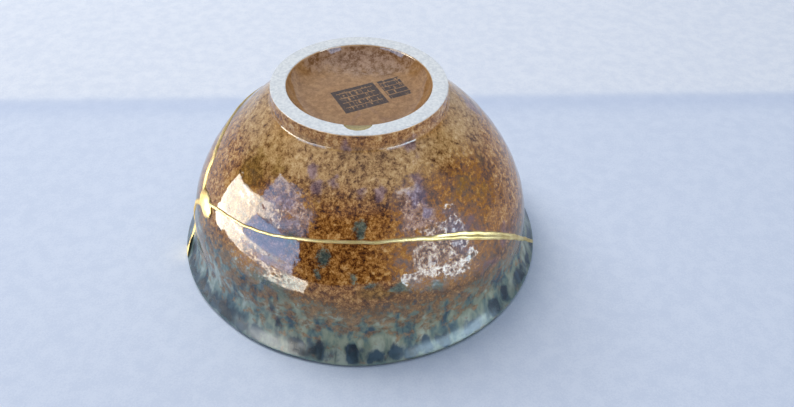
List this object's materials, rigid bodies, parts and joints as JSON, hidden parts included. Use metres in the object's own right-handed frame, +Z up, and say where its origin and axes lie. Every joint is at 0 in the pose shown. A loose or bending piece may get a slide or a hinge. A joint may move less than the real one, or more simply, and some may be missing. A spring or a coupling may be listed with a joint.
{
  "type": "ceramic bowl",
  "caption": "Round ceramic rice bowl on a foot ring, with a turned-out lip and raised gold mends along its breaks, kept standing on its rim.",
  "frame": {"origin": "centre of the circle that the rim stands on, at the level of the table", "axes": "+Z up from the rim, which stands on the table, to the foot ring; -Y is the side with the long front seam, +X its right-hand end"},
  "size_m": [0.12, 0.1203, 0.0611],
  "materials": {
    "glaze": "mottled iron-brown glaze running to blue-green at the lip, bare pale clay on the foot ring's face",
    "gold": "burnished gold powder over lacquer, slightly uneven"
  },
  "bodies": {
    "root": {"bowl_body": "glaze", "front_rim_shard": "glaze", "back_rim_shard": "glaze", "gold_seam": "gold", "foot_chip_fill": "gold"}
  },
  "joints": []
}
